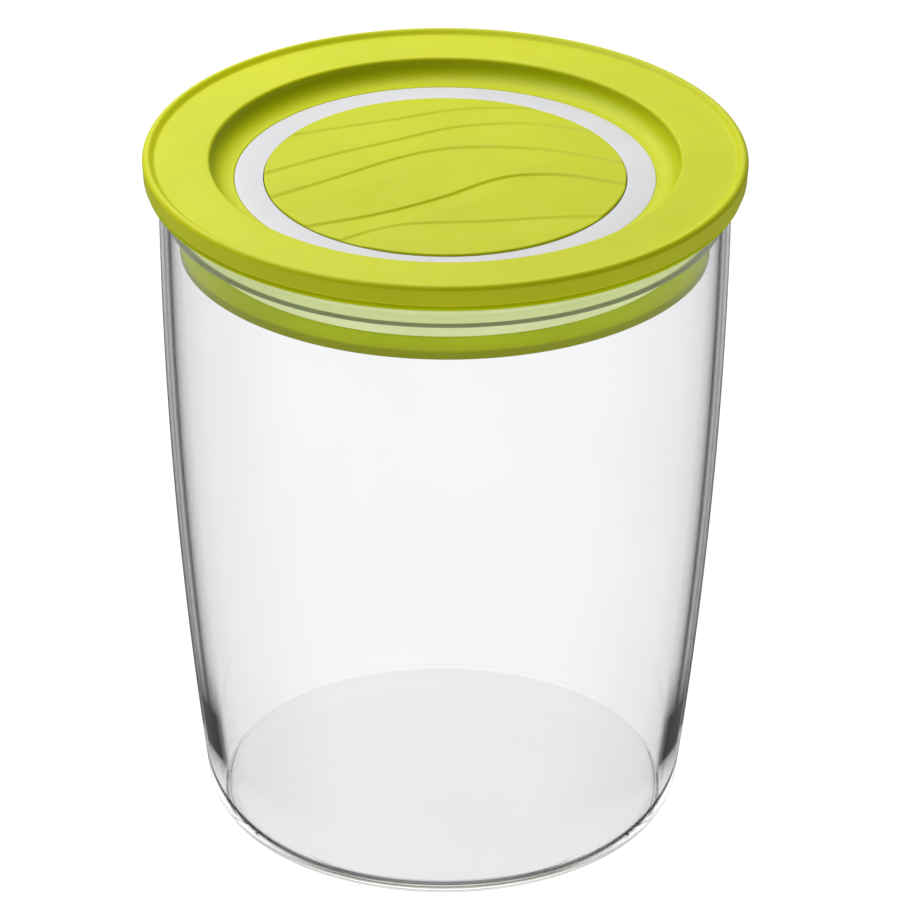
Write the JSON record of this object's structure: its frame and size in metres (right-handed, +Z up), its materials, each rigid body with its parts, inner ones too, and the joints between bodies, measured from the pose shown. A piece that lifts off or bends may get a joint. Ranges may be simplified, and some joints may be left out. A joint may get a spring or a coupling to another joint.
{
  "type": "lidded storage jar",
  "caption": "Clear barrel-tapered round jar with a press-in lid: flat lime flange, curved recess, white ring and waved disc, soft lip seal.",
  "frame": {"origin": "centre of the flat base, on the surface that the jar stands on", "axes": "+Z up along the jar's axis, -Y towards the front of the wave pattern"},
  "size_m": [0.12, 0.12, 0.1446],
  "materials": {
    "jar_clear": "polished clear moulding",
    "lid_green": "satin, fine grain",
    "plug_green": "satin moulding",
    "seal_silicone": "translucent, slightly milky",
    "ring_white": "smooth matt",
    "disc_green": "fine grain with shallow wave lines"
  },
  "bodies": {
    "jar": {"jar": "jar_clear"},
    "lid": {"lid_shell": "lid_green", "lid_plug": "plug_green", "seal_ring": "seal_silicone", "white_ring": "ring_white", "centre_disc": "disc_green"}
  },
  "joints": [
    {"name": "lid_lift", "type": "slide", "parent": "jar", "child": "lid", "axis": [0, 0, 1], "range_m": [0, 0.06]}
  ]
}
